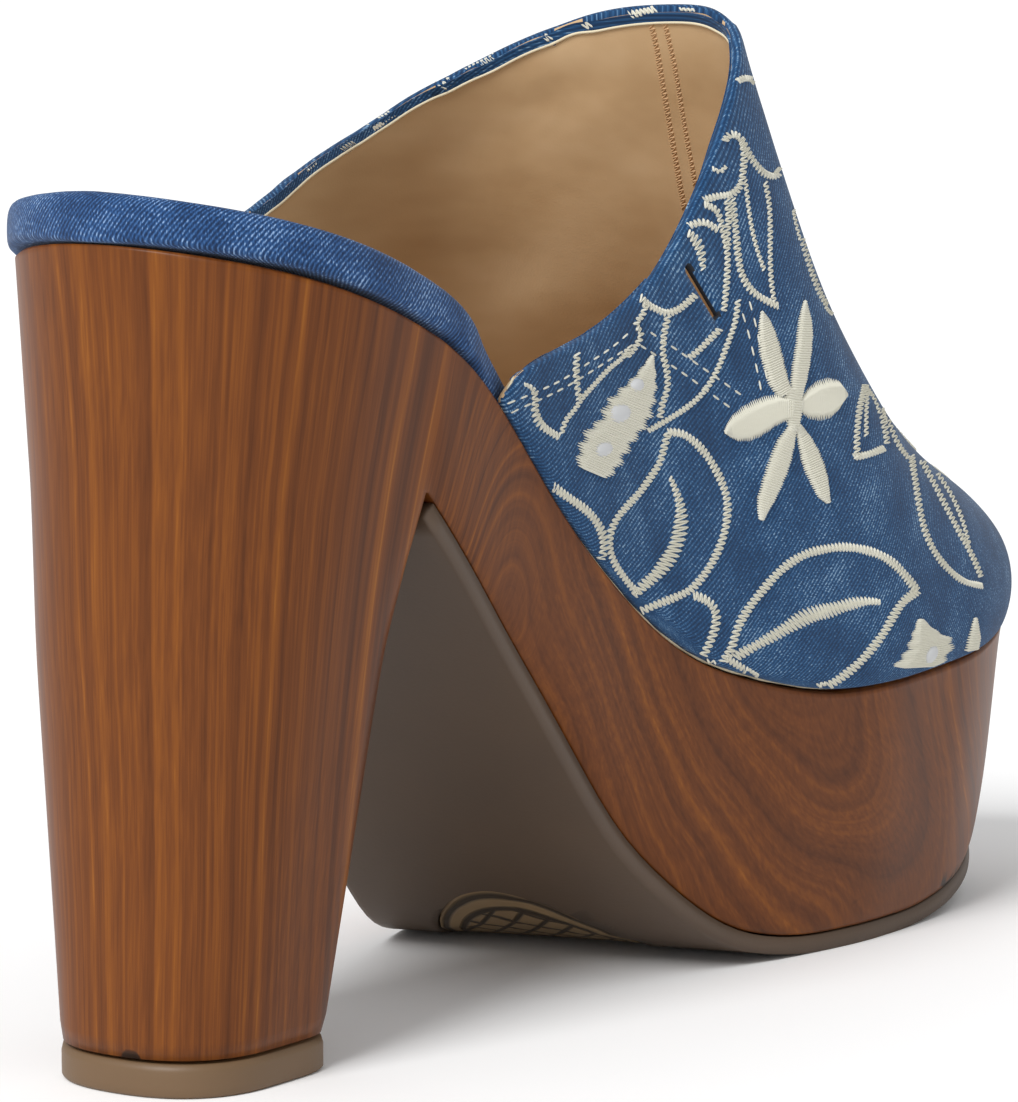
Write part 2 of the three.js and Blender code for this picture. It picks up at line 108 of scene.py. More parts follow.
def fillRamp(ramp, stops):
    elements = ramp.color_ramp.elements
    elements.remove(elements[-1])
    elements[0].position = stops[0][0]
    elements[0].color = hexColour(stops[0][1])
    for place, code in stops[1:]:
        elements.new(place).color = hexColour(code)


# Camera and the photograph's frame
photo = {
    "width": 1018,
    "height": 1102,
    "focal": 4995.72,  # in the photograph's pixels
    "place": (0.47264, -0.59742, 0.17569),
    "turn": 34.521,
    "pitch": 7.053,
}


def makeCamera():
    bpy.ops.object.camera_add(
        location=photo["place"],
        rotation=(math.radians(90 - photo["pitch"]), 0, math.radians(photo["turn"])),
    )
    camera = bpy.context.object
    camera.name = "photoCamera"
    camera.data.sensor_width = 36
    camera.data.sensor_fit = "AUTO"
    camera.data.lens = photo["focal"] / photo["height"] * 36
    camera.data.clip_start = 0.05
    camera.data.clip_end = 100
    bpy.context.scene.camera = camera


def photoRay(u, v):
    turn, pitch = math.radians(photo["turn"]), math.radians(photo["pitch"])
    ahead = Vector((-math.sin(turn) * math.cos(pitch), math.cos(turn) * math.cos(pitch), -math.sin(pitch)))
    right = Vector((math.cos(turn), math.sin(turn), 0))
    up = right.cross(ahead)
    across = float(u - photo["width"] / 2) / photo["focal"]
    down = float(v - photo["height"] / 2) / photo["focal"]
    return Vector(photo["place"]), (ahead + right * across - up * down).normalized()


# Studio: a soft key from behind the heel and an even white room
studio = {
    "floorSize": 60,
    "keyLight": {"from": (0.06, -0.97, 0.86), "strength": 2.5, "spread": 24},  # spread in degrees
    "room": 0.62,
}


def makeStudio():
    bpy.ops.mesh.primitive_plane_add(size=studio["floorSize"])
    floor = bpy.context.object
    floor.name = "floor"
    material, tree, shader = newMaterial("matte white paper")
    fillInputs(tree, shader, {"Base Color": (0.98, 0.98, 0.98, 1), "Roughness": 1, "Specular IOR Level": 0})
    floor.data.materials.append(material)
    key = studio["keyLight"]
    bpy.ops.object.light_add(type="SUN", location=key["from"])
    lamp = bpy.context.object
    lamp.name = "keyLight"
    lamp.data.energy = key["strength"]
    lamp.data.angle = math.radians(key["spread"])
    lamp.rotation_euler = Vector(key["from"]).to_track_quat("Z", "Y").to_euler()
    world = bpy.data.worlds.new("room")
    bpy.context.scene.world = world
    world.use_nodes = True
    walls = world.node_tree.nodes["Background"].inputs
    walls["Color"].default_value = (1, 1, 1, 1)
    walls["Strength"].default_value = studio["room"]
    bpy.context.scene.view_settings.view_transform = "Standard"


# The wood's top line beside the foot, for cloth that follows it: place along the shoe, height, in mm
woodLine = [(-20, 130), (1, 124), (32, 111), (71, 76), (104, 53.5), (138, 46.4), (176, 48.2), (219, 54.7)]
clothAxis = 4 * mm  # the foot's middle line, from which the cloth is measured round
wrap = {"middle": 11 * mm, "round": 32 * mm}  # the seat's round end and the radius of its denim edge


def topLine(y):
    return np.interp(y / mm, [row[0] for row in woodLine], [row[1] for row in woodLine]) * mm


def wayAlong(y):
    # the distance over the wood's top line, from the heel to a place y along the shoe
    along = np.linspace(-30, 240, 271) * mm
    way = np.concatenate([[0], np.cumsum(np.hypot(np.diff(along), np.diff(topLine(along))))])
    return np.interp(y, along, way)


def wayThrough(line):
    # the distance along a line of points, at each of them
    return np.concatenate([[0], np.cumsum(np.linalg.norm(np.diff(line, axis=0), axis=1))])


def aheadAt(path, i):
    return Vector(path[min(i + 2, len(path) - 1)] - path[max(i - 2, 0)])


def smoothLine(line, passes):
    # each row between the ends moves towards its neighbours
    for _ in range(passes):
        line[1:-1] = (line[:-2] + 2 * line[1:-1] + line[2:]) / 4


def wrapDistance(tree, points):
    # the distance round the foot at each point, measured over the cloth from the inner side
    ys = np.arange(30, 226, 5) * mm
    angles = np.radians(np.arange(-40, 221, 4))
    table = np.zeros((len(ys), len(angles)))
    for i, y in enumerate(ys):
        centre = Vector((clothAxis, y, topLine(y)))
        reach = []
        for angle in angles:
            way = Vector((math.cos(angle), 0, math.sin(angle)))
            hit = tree.ray_cast(centre + way * 0.3, -way)[0]
            reach.append((hit - centre).length if hit else None)
        known = [k for k, r in enumerate(reach) if r is not None]
        if known:
            reach = np.interp(range(len(angles)), known, [reach[k] for k in known])
        else:
            reach = np.full(len(angles), 45 * mm)
        rim = np.column_stack([reach * np.cos(angles), reach * np.sin(angles)])
        way = wayThrough(rim)
        table[i] = way - np.interp(0, angles, way)
    smoothLine(table, 8)
    angle = np.arctan2(points[:, 2] - topLine(points[:, 1]), points[:, 0] - clothAxis)
    angle = np.where(angle < angles[0], angle + 2 * math.pi, angle)
    row = np.clip((points[:, 1] - ys[0]) / (ys[1] - ys[0]), 0, len(ys) - 1.001)
    low = row.astype(int)
    column = np.clip((angle - angles[0]) / (angles[1] - angles[0]), 0, len(angles) - 1.001)
    left = column.astype(int)
    s, t = row - low, column - left
    return ((1 - s) * ((1 - t) * table[low, left] + t * table[low, left + 1])
            + s * ((1 - t) * table[low + 1, left] + t * table[low + 1, left + 1]))


def bandCoordinates(points):
    # along the insole's wrapped edge, and across it
    x, y, z = points.T
    turn = wrap["middle"]
    heel = y < turn
    angle = np.arctan2(turn - y, x)
    past = wayAlong(y) - wayAlong(turn)
    along = np.where(heel, -angle * wrap["round"], np.where(x > 0, past, -past - math.pi * wrap["round"]))
    inset = np.where(heel, np.hypot(x, y - turn), np.abs(x))
    return np.column_stack([along, z - topLine(y) - inset])


def addClothMap(piece, flat):
    mesh = piece.data
    corners = np.zeros(len(mesh.loops), int)
    mesh.loops.foreach_get("vertex_index", corners)
    layer = mesh.uv_layers.new(name="cloth")
    layer.data.foreach_set("uv", flat[corners].ravel())


def meshPoints(piece):
    points = np.zeros(len(piece.data.vertices) * 3)
    piece.data.vertices.foreach_get("co", points)
    return points.reshape(-1, 3)


# Materials. The print on the moulded unit: bands to the metre, the flame's ellipsoid on the heel and the
# log whose rings show on the platform, in metres and radians.
woodPrint = {
    "acrossHeel": (0.82, 0.57, 0),  # the way across the heel as the camera sees it
    "heelBands": 340,
    "platformBands": 230,
    "flame": {"Location": (0.033, 0.047, 0.062), "Scale": (0.04, 0.024, 0.06)},
    "log": {"Location": (0.03, 0.158, 0.042), "Rotation": (0.72, 0.18, 0.3)},
    "stops": [(0.25, "#45220b"), (0.38, "#582e10"), (0.5, "#683814"), (0.62, "#7b4516"), (0.76, "#9a5f20")],
    "chip": "#2a1a10",
}


def makeWood():
    # Moulded ABS with a printed walnut film under satin lacquer: fine warm streaks that run down the
    # heel and swing round into arches on the platform.
    material, tree, shader = newMaterial("printed walnut lacquer")
    place = addNode(tree, "TexCoord", {}, {}).outputs["Object"]
    wander = addNode(tree, "TexNoise", {}, {"Scale": 13, "Detail": 2, "Roughness": 0.4, "Vector": place})
    parts = addNode(tree, "SeparateXYZ", {}, {"Vector": place})
    bands = []

    def addBands(ring, stretched, count):
        broad = addNode(tree, "TexNoise", {"noise_dimensions": "1D"},
                        {"Scale": count, "Detail": 4, "Roughness": 0.6, "W": ring})
        # fibres under half a millimetre wide and many centimetres long
        fibre = addNode(tree, "TexNoise", {},
                        {"Scale": 1300, "Detail": 2, "Roughness": 0.6, "Vector": stretched})
        both = addNode(tree, "Mix", {"data_type": "FLOAT"},
                       {"Factor": 0.3, "A": broad.outputs["Fac"], "B": fibre.outputs["Fac"]})
        bands.append(both.outputs["Result"])

    # heel: bands stand upright and close up downwards as the heel tapers; one flame near its front
    sway = maths(tree, "VectorMath", "MULTIPLY_ADD", wander.outputs["Color"], (0.004, 0.004, 0), place)
    spread = ranged(tree, parts.outputs["Z"], 0.0, 0.13, 1.55, 0.95)
    upright = addNode(tree, "VectorMath", {"operation": "SCALE"}, {0: sway, "Scale": spread})
    across = maths(tree, "VectorMath", "DOT_PRODUCT", upright.outputs[0], woodPrint["acrossHeel"])
    knot = addNode(tree, "Mapping", {"vector_type": "TEXTURE"}, {**woodPrint["flame"], "Vector": place})
    knotReach = maths(tree, "VectorMath", "LENGTH", knot.outputs[0])
    flame = ranged(tree, knotReach, 0, 1, 0.03, 0, "SMOOTHERSTEP")
    upRing = maths(tree, "Math", "ADD", across, flame)
    upFibre = maths(tree, "VectorMath", "MULTIPLY", upright.outputs[0], (1, 1, 0.03))
    addBands(upRing, upFibre, woodPrint["heelBands"])

    # platform: the bands ring a log that comes out near the toe
    shift = maths(tree, "VectorMath", "MULTIPLY_ADD", wander.outputs["Color"], (0.022, 0.022, 0.022), place)
    log = addNode(tree, "Mapping", {"vector_type": "TEXTURE"}, {**woodPrint["log"], "Vector": shift})
    ring = maths(tree, "VectorMath", "MULTIPLY", log.outputs[0], (1, 1, 0.04))
    reach = maths(tree, "VectorMath", "LENGTH", ring)
    addBands(reach, ring, woodPrint["platformBands"])
    # the print changes over from the heel's grain to the platform's between 40 and 75 mm along the shoe
    over = ranged(tree, parts.outputs["Y"], 0.04, 0.075, 0, 1, "SMOOTHSTEP")
    grain = addNode(tree, "Mix", {"data_type": "FLOAT"}, {"Factor": over, "A": bands[0], "B": bands[1]})
    # the colour is darker from the heel's front edge on: partly the film's print, partly painted shade for
    # the heel's side turned from the light
    toFront = maths(tree, "VectorMath", "DOT_PRODUCT", place, woodPrint["acrossHeel"])
    frontShadeAndPrint = ranged(tree, toFront, -0.008, 0.034, 0.02, -0.03, "SMOOTHSTEP")
    tone = maths(tree, "Math", "ADD", grain.outputs["Result"], frontShadeAndPrint)
    ramp = addNode(tree, "ValToRGB", {}, {"Fac": tone})
    fillRamp(ramp, woodPrint["stops"])
    # small dark chips where the lacquer ends at the tip
    edge = ranged(tree, parts.outputs["Z"], 0.0085, 0.0065)
    spots = addNode(tree, "TexNoise", {}, {"Scale": 160, "Detail": 1, "Vector": place})
    spot = ranged(tree, spots.outputs["Fac"], 0.64, 0.68)
    chip = addNode(tree, "Math", {"operation": "MULTIPLY", "use_clamp": True}, {0: edge, 1: spot})
    colour = addNode(tree, "Mix", {"data_type": "RGBA"},
                     {7: hexColour(woodPrint["chip"]), "Factor": chip.outputs[0], 6: ramp.outputs["Color"]})
    fillInputs(tree, shader, {"Base Color": colour.outputs[2]})
    rough = ranged(tree, grain.outputs["Result"], 0, 1, 0.36, 0.48)
    fillInputs(tree, shader, {"Roughness": rough, "Coat Weight": 0.06,
                              "Coat Roughness": 0.2, "Specular IOR Level": 0.16})
    addBump(tree, shader, 0.12, 0.0002, grain.outputs["Result"])
    return material


# Two denims: the upper's washed cloth and the darker one round the insole. Twill in mm, turn in degrees.
upperDenim = {
    "stops": [(0.22, "#15304f"), (0.42, "#193c61"), (0.56, "#1f476f"), (0.7, "#325d87"), (0.84, "#86a3bc")],
    "twill": 0.66,
    "turn": 52,
}
edgeDenim = {
    "stops": [(0.25, "#162b4b"), (0.42, "#1d3a62"), (0.54, "#254877"), (0.68, "#3d6292"), (0.82, "#8ba7ca")],
    "twill": 0.6,
    "turn": 38,
}
waveRepeat = 0.314  # a wave texture of scale 1 repeats at this length


def makeDenim(name, denim):
    # Washed cotton twill: a slanting rib of white-cored blue thread, with pale flecks where it is worn.
    material, tree, shader = newMaterial(name)
    lineTurn = math.radians(denim["turn"])
    threadTurn = math.radians(denim["turn"] + 62)
    flat = addNode(tree, "UVMap", {"uv_map": "cloth"}, {}).outputs["UV"]
    rib = addNode(tree, "Mapping", {},
                  {"Rotation": (0, 0, lineTurn), "Scale": (1000, 1000, 1), "Vector": flat})
    wave = addNode(tree, "TexWave", {"bands_direction": "X"},
                   {"Scale": waveRepeat / denim["twill"], "Distortion": 1.2, "Detail": 1,
                    "Detail Scale": 2.5, "Vector": rib.outputs[0]})
    threadPlace = addNode(tree, "Mapping", {},
                          {"Rotation": (0, 0, threadTurn), "Scale": (3400, 1250, 1), "Vector": flat})
    thread = addNode(tree, "TexNoise", {"noise_dimensions": "2D"},
                     {"Scale": 1, "Detail": 1.5, "Roughness": 0.6, "Vector": threadPlace.outputs[0]})
    cloud = addNode(tree, "TexNoise", {"noise_dimensions": "2D"},
                    {"Scale": 90, "Detail": 4, "Roughness": 0.6, "Vector": flat})
    mixed = addNode(tree, "Mix", {"data_type": "FLOAT"},
                    {"Factor": 0.66, "A": wave.outputs["Fac"], "B": thread.outputs["Fac"]})
    worn = maths(tree, "Math", "MULTIPLY_ADD", cloud.outputs["Fac"], 0.5, mixed.outputs["Result"])
    tone = maths(tree, "Math", "SUBTRACT", worn, 0.25)
    ramp = addNode(tree, "ValToRGB", {}, {"Fac": tone})
    fillRamp(ramp, denim["stops"])
    fillInputs(tree, shader, {"Base Color": ramp.outputs["Color"], "Roughness": 0.9,
                              "Specular IOR Level": 0.2, "Sheen Weight": 0.12, "Sheen Roughness": 0.5})
    addBump(tree, shader, 0.4, 0.0002, mixed.outputs["Result"])
    return material


def makeLining():
    # Thin pigskin-look synthetic: beige, matte, with fine pores and soft folds, their troughs darkened with
    # painted shade.
    material, tree, shader = newMaterial("beige lining leather")
    place = addNode(tree, "TexCoord", {}, {}).outputs["Object"]
    stretched = addNode(tree, "Mapping", {}, {"Scale": (1, 0.35, 1.6), "Vector": place})
    foldsAndTroughShade = addNode(tree, "TexNoise", {},
                    {"Scale": 45, "Detail": 3, "Roughness": 0.5, "Vector": stretched.outputs[0]})
    grain = addNode(tree, "TexVoronoi", {"feature": "DISTANCE_TO_EDGE"}, {"Scale": 1500, "Vector": place})
    # painted shade: the colour follows the folds' height and is darkest in their troughs
    ramp = addNode(tree, "ValToRGB", {}, {"Fac": foldsAndTroughShade.outputs["Fac"]})
    fillRamp(ramp, [(0.28, "#b5936a"), (0.5, "#c5a47b"), (0.7, "#d1b28a")])
    fillInputs(tree, shader, {"Base Color": ramp.outputs["Color"], "Roughness": 0.62,
                              "Specular IOR Level": 0.3})
    soft = addNode(tree, "Bump", {}, {"Strength": 0.3, "Distance": 0.001, "Height": foldsAndTroughShade.outputs["Fac"]})
    fine = addNode(tree, "Bump", {},
                   {"Strength": 0.25, "Distance": 0.0001, "Height": grain.outputs["Distance"],
                    "Normal": soft.outputs["Normal"]})
    fillInputs(tree, shader, {"Normal": fine.outputs["Normal"]})
    return material


def makePlain(name, colour, dark, variation, roughness, grainSize, depth):
    # A moulded or spun surface: faint mottling towards a darker colour, grain size and depth in mm.
    material, tree, shader = newMaterial(name)
    place = addNode(tree, "TexCoord", {}, {}).outputs["Object"]
    mottle = addNode(tree, "TexNoise", {}, {"Scale": 60, "Detail": 4, "Vector": place})
    colourMix = addNode(tree, "Mix", {"data_type": "RGBA"}, {6: hexColour(colour), 7: hexColour(dark)})
    amount = ranged(tree, mottle.outputs["Fac"], 0.35, 0.75, 0, variation)
    tree.links.new(amount, colourMix.inputs["Factor"])
    fillInputs(tree, shader, {"Base Color": colourMix.outputs[2]})
    grain = addNode(tree, "TexNoise", {}, {"Scale": 1 / (grainSize * mm), "Detail": 2, "Vector": place})
    addBump(tree, shader, 0.5, depth * mm, grain.outputs["Fac"])
    fillInputs(tree, shader, {"Roughness": roughness})
    return material


# The oval pad in metres; its lattice in mm, its slant in degrees and its two rims as shares of the oval
pad = {
    "centre": (-0.008, 0.126),
    "width": 0.0414,
    "length": 0.0694,
    "lattice": 4.2,
    "slant": 38,
    "rims": (0.84, 0.955),
}


def makePadRubber():
    # Moulded TPR insert: pale tan, a slanting lattice of grooves inside a double rim, the grooves and rim
    # lines darkened with painted shade.
    material, tree, shader = newMaterial("moulded tan tread rubber")
    place = addNode(tree, "TexCoord", {}, {}).outputs["Object"]
    centred = addNode(tree, "Mapping", {"vector_type": "TEXTURE"},
                      {"Location": (*pad["centre"], 0), "Scale": (pad["width"] / 2, pad["length"] / 2, 1),
                       "Vector": place})
    flat = maths(tree, "VectorMath", "MULTIPLY", centred.outputs[0], (1, 1, 0))
    reach = maths(tree, "VectorMath", "LENGTH", flat)
    lines = []
    for turn in (pad["slant"], -pad["slant"]):
        slant = addNode(tree, "Mapping", {},
                        {"Rotation": (0, 0, math.radians(turn)), "Scale": (1000, 1000, 1), "Vector": place})
        wave = addNode(tree, "TexWave", {"bands_direction": "Y"},
                       {"Scale": waveRepeat / pad["lattice"], "Vector": slant.outputs[0]})
        groove = ranged(tree, wave.outputs["Fac"], 0.02, 0.16)
        lines.append(groove)
    lattice = maths(tree, "Math", "MINIMUM", lines[0], lines[1])
    rims = []
    for ring in pad["rims"]:
        away = maths(tree, "Math", "SUBTRACT", reach, ring)
        size = maths(tree, "Math", "ABSOLUTE", away)
        rims.append(ranged(tree, size, 0.012, 0.03))
    inside = maths(tree, "Math", "GREATER_THAN", reach, pad["rims"][0])
    field = maths(tree, "Math", "MAXIMUM", lattice, inside)
    ringed = maths(tree, "Math", "MINIMUM", rims[0], rims[1])
    reliefAndGrooveShade = maths(tree, "Math", "MINIMUM", field, ringed)
    # painted shade: the recessed grooves and rim lines go dark brown, the raised rubber stays tan
    ramp = addNode(tree, "ValToRGB", {}, {"Fac": reliefAndGrooveShade})
    fillRamp(ramp, [(0, "#352717"), (0.6, "#776142"), (1, "#8a7150")])
    fillInputs(tree, shader, {"Base Color": ramp.outputs["Color"], "Roughness": 0.6})
    addBump(tree, shader, 1, 0.0006, reliefAndGrooveShade)
    return material


# Pieces that follow the solids
def selectOnly(piece):
    bpy.ops.object.select_all(action="DESELECT")
    piece.select_set(True)
    bpy.context.view_layer.objects.active = piece


def smoothCopy(nodeName, pieceName, sharp, crease, levels):
    # a copy of a solid that stands in for it: edges over the sharp angle (degrees) stay firm by the crease,
    # the rest is rounded
    selectOnly(frame["nodes"][nodeName])
    bpy.ops.object.duplicate()
    piece = bpy.context.object
    del piece["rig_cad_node"]
    piece.name = pieceName
    piece.data.name = pieceName
    piece.data.materials.clear()
    bpy.ops.object.mode_set(mode="EDIT")
    bpy.ops.mesh.select_all(action="SELECT")
    bpy.ops.mesh.remove_doubles(threshold=2e-6)
    bpy.ops.mesh.tris_convert_to_quads(face_threshold=math.radians(35), shape_threshold=math.radians(70))
    bpy.ops.object.mode_set(mode="OBJECT")
    work = bmesh.new()
    work.from_mesh(piece.data)
    layer = work.edges.layers.float.get("crease_edge") or work.edges.layers.float.new("crease_edge")
    for edge in work.edges:
        if len(edge.link_faces) == 2 and edge.calc_face_angle() > math.radians(sharp):
            edge[layer] = crease
    work.to_mesh(piece.data)
    work.free()
    rounding = piece.modifiers.new("rounding", "SUBSURF")
    rounding.levels = levels
    rounding.render_levels = levels
    bpy.ops.object.modifier_apply(modifier="rounding")
    bpy.ops.object.shade_smooth_by_angle(angle=math.radians(55))
    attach(piece, "root")
    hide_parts(nodeName)
    return piece


def paint(piece, materials, choose=None):
    # choose gives a face's place in the list of materials
    for material in materials:
        piece.data.materials.append(material)
    if choose:
        for face in piece.data.polygons:
            face.material_index = choose(face)


def joinPieces(name, parts, material):
    # parts: a list of (points, faces) arrays with faces numbered from zero in each
    points = np.concatenate([part[0] for part in parts])
    faces = []
    start = 0
    for corners, sides in parts:
        faces.extend((np.asarray(side) + start).tolist() for side in sides)
        start += len(corners)
    mesh = bpy.data.meshes.new(name)
    mesh.from_pydata(points.tolist(), [], faces)
    piece = bpy.data.objects.new(name, mesh)
    bpy.context.scene.collection.objects.link(piece)
    selectOnly(piece)
    bpy.ops.object.mode_set(mode="EDIT")
    bpy.ops.mesh.select_all(action="SELECT")
    bpy.ops.mesh.normals_make_consistent(inside=False)
    bpy.ops.object.mode_set(mode="OBJECT")
    bpy.ops.object.shade_smooth_by_angle(angle=math.radians(70))
    mesh.materials.append(material)
    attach(piece, "root")
    return piece


# Thread work
class Cloth:
    # The surface that stitches are laid on, reached by rays.
    def __init__(self, pieces, keep=None):
        points, faces = [], []
        for piece in pieces:
            start = len(points)
            points += [vertex.co.copy() for vertex in piece.data.vertices]
            kept = [face for face in piece.data.polygons if keep is None or keep(face)]
            faces += [tuple(start + i for i in face.vertices) for face in kept]
        self.tree = BVHTree.FromPolygons(points, faces)

    def fromPhoto(self, u, v):
        start, way = photoRay(u, v)
        return self.tree.ray_cast(start, way)[0]

    def fromOuter(self, y, z):
        return self.tree.ray_cast(Vector((-0.3, y * mm, z * mm)), Vector((1, 0, 0)))[0]

    def fromAbove(self, x, y):
        return self.tree.ray_cast(Vector((x * mm, y * mm, 0.4)), Vector((0, 0, -1)))[0]

    def nearest(self, point):
        place, normal, _, _ = self.tree.find_nearest(point)
        return place, normal


def evenPath(points, step):
    # even steps along the line through the points that were hit
    line = np.array([point for point in points if point is not None])
    if len(line) < 2:
        return np.zeros((0, 3))
    way = wayThrough(line)
    count = max(2, int(way[-1] / step) + 1)
    where = np.linspace(0, way[-1], count)
    return np.column_stack([np.interp(where, way, line[:, k]) for k in range(3)])


def curvedLine(rows, count=60):
    # a smooth line through a motif's drawn points
    rows = np.array(rows, float)
    if len(rows) < 3:
        return np.column_stack([np.linspace(rows[0, k], rows[-1, k], count) for k in range(2)])
    way = wayThrough(rows)
    where = np.linspace(0, way[-1], count)
    slopes = np.gradient(rows, way, axis=0)
    out = []
    for s in where:
        i = min(np.searchsorted(way, s, side="right") - 1, len(way) - 2)
        h = way[i + 1] - way[i]
        t = (s - way[i]) / h
        out.append((2 * t**3 - 3 * t**2 + 1) * rows[i] + (t**3 - 2 * t**2 + t) * h * slopes[i]
                   + (3 * t**2 - 2 * t**3) * rows[i + 1] + (t**3 - t**2) * h * slopes[i + 1])
    return np.array(out)


# A strand's faces: four at each end and four along it
strandFaces = [(0, 1, 2), (0, 2, 3), (0, 3, 4), (0, 4, 1), (1, 5, 6, 2), (2, 6, 7, 3), (3, 7, 8, 4),
               (4, 8, 5, 1), (9, 6, 5), (9, 7, 6), (9, 8, 7), (9, 5, 8)]


def strand(cloth, a, b, width, height, belly=0.0):
    # one length of thread from a to b, its ends let into the cloth
    along = b - a
    length = along.length
    if length < thread["shortest"] * mm:
        return []
    along = along / length
    middle, normal = cloth.nearest((a + b) / 2)
    side = normal.cross(along).normalized() * (width / 2)
    raised = normal * height
    rise = normal * belly
    sunk = normal * thread["sunk"] * mm
    points = [a - sunk]
    for share in (0.22, 0.78):  # where it has its full width
        base = cloth.nearest(a + along * length * share)[0] + rise
        points += [base + side, base + raised, base - side, base - sunk]
    points.append(b - sunk)
    return [(np.array([tuple(point) for point in points]), strandFaces)]


def zigzag(cloth, points, width, thread):
    # a running zigzag; width in mm, one number or a list along the way
    path = evenPath(points, thread["pitch"] * mm / 2)
    parts = []
    if len(path) < 3:
        return parts
    given = np.atleast_1d(width)
    widths = np.interp(np.linspace(0, 1, len(path)), np.linspace(0, 1, len(given)), given)
    ends = []
    for i, spot in enumerate(path):
        ahead = aheadAt(path, i)
        place, normal = cloth.nearest(Vector(spot))
        side = normal.cross(ahead).normalized()
        ragged = 1 + thread["ragged"] * math.sin(i * thread["zigzagTurn"])
        sign = 1 if i % 2 else -1
        lean = ahead.normalized() * widths[i] * mm * thread["slant"] * sign
        ends.append(cloth.nearest(place + side * sign * widths[i] * mm / 2 * ragged + lean)[0])
    for a, b in zip(ends, ends[1:]):
        parts += strand(cloth, a, b, thread["width"] * mm, thread["height"] * mm)
    return parts


def satin(cloth, points, widths, thread):
    # a filled shape: close strands straight across, padded up in the middle
    path = evenPath(points, thread["close"] * mm)
    parts = []
    if len(path) < 3:
        return parts
    widths = np.interp(np.linspace(0, 1, len(path)), np.linspace(0, 1, len(widths)), widths)
    for i, spot in enumerate(path):
        ahead = aheadAt(path, i).normalized()
        place, normal = cloth.nearest(Vector(spot))
        side = normal.cross(ahead).normalized()
        half = widths[i] * mm / 2 * (1 + thread["ragged"] * math.sin(i * thread["satinTurn"]))
        lean = ahead * half * thread["slant"]
        a = cloth.nearest(place + side * half + lean)[0]
        b = cloth.nearest(place - side * half - lean)[0]
        wide = thread["width"] * 1.25 * mm
        parts += strand(cloth, a, b, wide, thread["height"] * mm, thread["padding"] * mm)
    return parts


def dashes(cloth, points, thread):
    # running stitches of one length
    step = 0.1
    path = evenPath(points, step * mm)
    parts = []
    run = int(thread["dash"] / step)
    rest = int(thread["rest"] / step)
    for start in range(0, len(path) - run, run + rest):
        a, b = Vector(path[start]), Vector(path[start + run])
        parts += strand(cloth, a, b, thread["fine"] * mm, thread["fine"] * 0.6 * mm)
    return parts


def shownPath(cloth, rows, step):
    # even steps over the cloth under a line drawn in the photograph: points there, and shares of the way
    drawn = curvedLine(rows, 160)
    hits = [cloth.fromPhoto(u, v) for u, v in drawn]
    kept = [k for k, hit in enumerate(hits) if hit is not None]
    if len(kept) < 4:
        return np.zeros((0, 2)), np.zeros(0)
    drawn = drawn[kept]
    solid = np.array([hits[k] for k in kept])
    way = wayThrough(solid)
    where = np.linspace(0, way[-1], max(4, int(way[-1] / (step * mm))))
    return np.column_stack([np.interp(where, way, drawn[:, k]) for k in (0, 1)]), where / way[-1]


def shownZigzag(cloth, rows, widths, thread):
    # widths across the line, in the photograph's pixels
    drawn, share = shownPath(cloth, rows, thread["pitch"] / 2)
    parts = []
    if not len(drawn):
        return parts
    widths = np.atleast_1d(widths)
    across = np.interp(share, np.linspace(0, 1, len(widths)), widths)
    ahead = np.gradient(drawn, axis=0)
    ahead = ahead / np.linalg.norm(ahead, axis=1)[:, None]
    ends = []
    for i, (u, v) in enumerate(drawn):
        sign = 1 if i % 2 else -1
        reach = across[i] / 2 * (1 + thread["ragged"] * math.sin(i * thread["zigzagTurn"])) * sign
        lean = across[i] * thread["slant"] * sign
        x, y = ahead[i]
        end = cloth.fromPhoto(u - y * reach + x * lean, v + x * reach + y * lean)
        ends.append(end or cloth.fromPhoto(u, v))
    for a, b in zip(ends, ends[1:]):
        if a and b and (a - b).length < thread["longest"] * mm:
            parts += strand(cloth, a, b, thread["width"] * mm, thread["height"] * mm)
    return parts


def shownSatin(cloth, left, right, thread, fringe):
    # close strands from one drawn edge to the other
    left, right = curvedLine(left, 160), curvedLine(right, 160)
    drawn, share = shownPath(cloth, (left + right) / 2, thread["close"])
    parts = []
    for i, s in enumerate(share):
        k = int(s * 159)
        wild = 0.5 + fringe * math.sin(i * thread["satinTurn"])
        middle = (left[k] + right[k]) / 2
        a = cloth.fromPhoto(*(middle + (left[k] - right[k]) * wild))
        b = cloth.fromPhoto(*(middle - (left[k] - right[k]) * wild))
        if a and b and (a - b).length < thread["longestSatin"] * mm:
            wide = thread["close"] * 1.5 * mm
            parts += strand(cloth, a, b, wide, thread["height"] * mm, thread["padding"] * mm)
    return parts


# Embroidery thread, lengths in mm
thread = {
    "pitch": 0.92,  # one zigzag, out and back
    "close": 0.4,
    "width": 0.4,
    "height": 0.3,
    "slant": 0.16,
    "padding": 0.3,
    "ragged": 0.06,
    "zigzagTurn": 12.9898,  # radians from stitch to stitch, which makes a fixed, uneven row
    "satinTurn": 7.31,
    "dash": 2.1,
    "rest": 0.9,
    "fine": 0.36,
    "shortest": 0.01,
    "sunk": 0.1,
    "longest": 12,  # a longer strand has jumped to another part of the shoe
    "longestSatin": 25,
}

